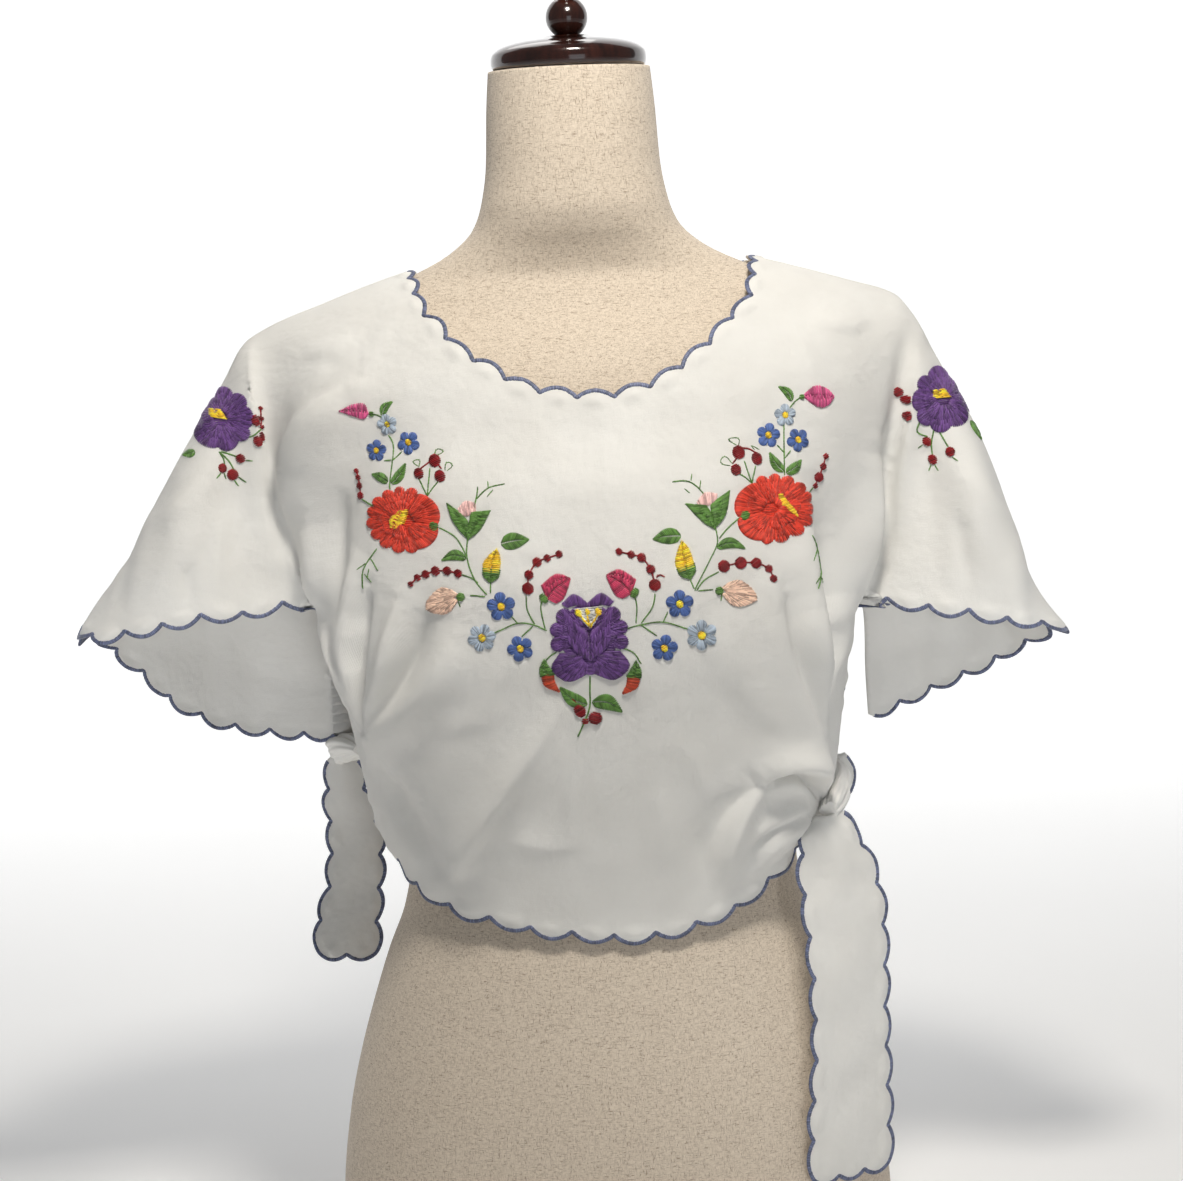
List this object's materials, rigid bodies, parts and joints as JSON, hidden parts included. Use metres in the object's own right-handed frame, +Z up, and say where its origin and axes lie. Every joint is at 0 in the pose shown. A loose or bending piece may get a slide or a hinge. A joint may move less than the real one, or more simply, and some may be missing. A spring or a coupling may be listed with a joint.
{
  "type": "embroidered blouse on a dress form",
  "caption": "Short-sleeved cotton blouse with scalloped edges, side ties and flower embroidery, worn by a limbless linen-covered dress form with a turned-wood neck cap.",
  "frame": {"origin": "centre of the dress form's flat base", "axes": "+Z up, -Y out of the front of the blouse, +X to the right of a viewer who faces it"},
  "size_m": [0.6353, 0.2559, 0.845],
  "materials": {
    "cotton": "matt plain-weave cotton",
    "linen": "matt natural linen with slubs",
    "dark_wood": "high-gloss dark mahogany varnish",
    "edging_thread": "slightly lustrous embroidery thread",
    "embroidery_thread": "lustrous stranded cotton in thirteen colours, red shown"
  },
  "bodies": {
    "root": {"front_panel": "cotton", "back_panel": "cotton", "tie_right": "cotton", "tie_left": "cotton", "tie_end_right": "cotton", "knot_right": "cotton", "knot_left": "cotton", "torso": "linen", "neck_cap": "dark_wood", "ball": "dark_wood", "finial": "dark_wood"}
  },
  "joints": []
}
